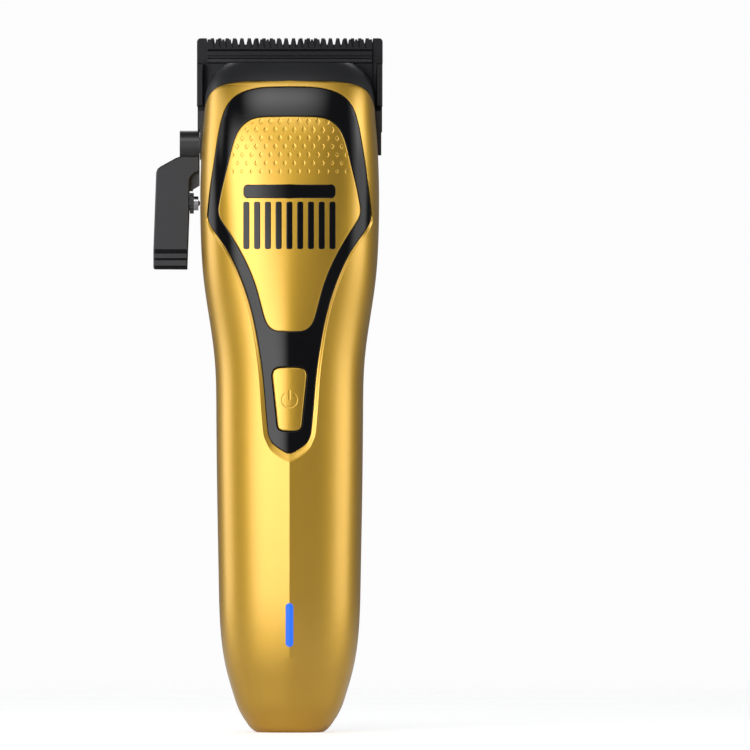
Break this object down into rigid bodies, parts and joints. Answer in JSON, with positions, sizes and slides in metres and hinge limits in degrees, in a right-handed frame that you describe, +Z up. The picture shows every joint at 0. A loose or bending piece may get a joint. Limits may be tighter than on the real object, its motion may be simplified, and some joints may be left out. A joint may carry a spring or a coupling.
{
  "type": "hair clipper",
  "caption": "Cordless hair clipper with a taper lever on its side, a toothed blade pair, a framed front plate and a push button",
  "frame": {"origin": "middle of the charging socket's mouth, on the flat foot at the handle's lower end", "axes": "+Z up the handle to the blades, front face towards -Y, taper lever on the -X side"},
  "size_m": [0.0574, 0.0336, 0.1736],
  "materials": {
    "gold_casing": "satin metallic paint",
    "gold_trim": "satin metallic paint",
    "black_frame": "high gloss",
    "black_satin": "satin",
    "lever_grey": "satin",
    "blade_black": "black coated, satin",
    "steel": "machined",
    "chrome": "polished",
    "brass": "bright",
    "gold_contact": "plated",
    "blue_lens": "translucent",
    "board_green": "solder mask",
    "chip_black": "moulded",
    "cell_wrap": "shrink film",
    "inner_plastic": "moulded",
    "magnet": "ground",
    "copper_wire": "insulated wire"
  },
  "bodies": {
    "casing": {"front_shell": "gold_casing", "rear_shell": "gold_casing", "head_frame": "black_satin", "nose_cap": "black_satin", "bezel": "black_frame", "face_plate": "gold_trim", "emblem": "black_frame", "led_lens": "blue_lens", "dock_plate": "black_satin", "usb_socket": "steel", "charge_contacts": "gold_contact", "port_board": "board_green", "casing_screws": "steel", "chassis": "inner_plastic", "battery_cell": "cell_wrap", "battery_tabs": "steel", "battery_leads": "copper_wire", "circuit_board": "board_green", "board_chips": "chip_black", "tact_switch": "chip_black", "led_chip": "inner_plastic", "motor_can": "steel", "motor_endcap": "inner_plastic", "motor_magnets": "magnet", "motor_bearing": "brass", "motor_bracket": "steel", "motor_screws": "steel", "motor_leads": "copper_wire", "lever_bush": "brass"},
    "lever": {"taper_lever": "lever_grey", "lever_shaft": "steel", "lever_screw": "blade_black", "detent_collar": "lever_grey", "detent_housing": "chrome", "detent_spring": "steel"},
    "stop_pin": {"detent_pin": "chrome"},
    "blade_carrier": {"blade_bracket": "blade_black", "fixed_blade": "blade_black", "blade_screws": "steel", "blade_spring": "steel"},
    "cutter": {"moving_blade": "blade_black", "drive_yoke": "inner_plastic", "yoke_pins": "steel"},
    "rotor": {"rotor_core": "magnet", "motor_shaft": "steel", "eccentric_cam": "steel", "cam_bearing": "steel"},
    "button": {"power_button": "gold_trim"}
  },
  "joints": [
    {"name": "taper_lever_turn", "type": "hinge", "parent": "casing", "child": "lever", "pos_m": [-0.0228, 0.003, 0.1467], "axis": [1, 0, 0], "range_deg": [0, 30]},
    {"name": "blade_adjust", "type": "slide", "parent": "casing", "child": "blade_carrier", "axis": [0, 0, 1], "range_m": [0, 0.00136]},
    {"name": "cutter_stroke", "type": "slide", "parent": "casing", "child": "cutter", "axis": [1, 0, 0], "range_m": [-0.0009, 0.0009]},
    {"name": "rotor_spin", "type": "hinge", "parent": "casing", "child": "rotor", "pos_m": [0, 0.001, 0.12], "axis": [0, 0, 1], "continuous": true},
    {"name": "button_press", "type": "slide", "parent": "casing", "child": "button", "axis": [0, 1, 0], "range_m": [0, 0.0005], "stiffness_N_per_m": 400},
    {"name": "stop_pin_slide", "type": "slide", "parent": "lever", "child": "stop_pin", "axis": [-1, 0, 0], "range_m": [0, 0.0004], "stiffness_N_per_m": 400, "deforming": ["detent_spring"]}
  ],
  "couplings": [
    {"joint": "blade_adjust", "follows": "taper_lever_turn", "m_per_rad": 0.0025704}
  ]
}
